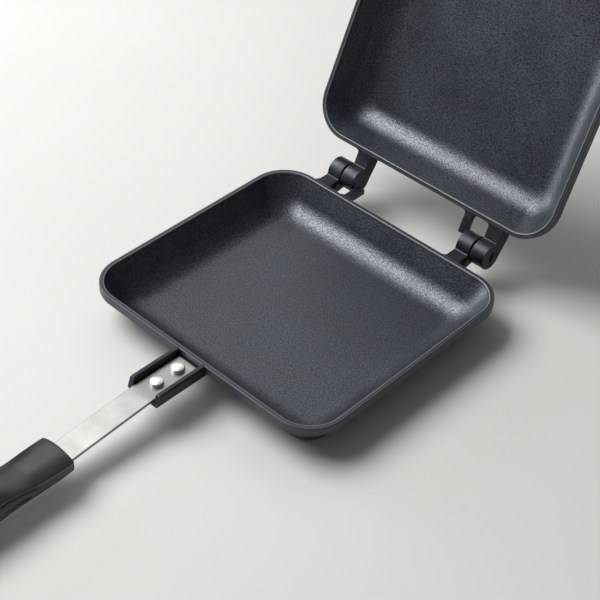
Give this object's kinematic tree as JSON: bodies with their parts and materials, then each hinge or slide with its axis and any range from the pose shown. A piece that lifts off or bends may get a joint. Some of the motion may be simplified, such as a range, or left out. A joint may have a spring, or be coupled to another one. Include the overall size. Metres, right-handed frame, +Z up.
{
  "type": "pie iron",
  "caption": "Hinged pie iron: shallow square pans with riveted strap handles, moulded grips and a wire latch, shown open.",
  "frame": {"origin": "centre of the lower pan's flat base, on the surface it stands on", "axes": "+Z up, +Y from the lower handle towards the hinges, +X along the hinge axis"},
  "size_m": [0.15, 0.5142, 0.3364],
  "materials": {
    "nonstick_casting": "die cast, dark satin non-stick coating",
    "strap_steel": "satin stainless strip",
    "rivet_metal": "polished, domed",
    "phenolic": "moulded black phenolic, semi-gloss",
    "zinc_steel": "zinc plated",
    "latch_wire": "bright plated wire"
  },
  "bodies": {
    "lower_half": {"lower_pan": "nonstick_casting", "lower_strap": "strap_steel", "lower_strap_rivets": "rivet_metal", "lower_grip": "phenolic", "lower_grip_screw": "zinc_steel", "lower_hinge_pin": "zinc_steel"},
    "upper_half": {"upper_pan": "nonstick_casting", "upper_strap": "strap_steel", "upper_strap_rivets": "rivet_metal", "upper_grip": "phenolic", "upper_grip_screw": "zinc_steel", "upper_hinge_pin": "zinc_steel"},
    "latch": {"latch_bail": "latch_wire"}
  },
  "joints": [
    {"name": "lid_hinge", "type": "hinge", "parent": "lower_half", "child": "upper_half", "pos_m": [0, 0.0835, 0.02015], "axis": [1, 0, 0], "range_deg": [0, 115]},
    {"name": "latch_pivot", "type": "hinge", "parent": "upper_half", "child": "latch", "pos_m": [0, 0.23766, 0.32672], "axis": [1, 0, 0], "range_deg": [-9, 245]}
  ]
}
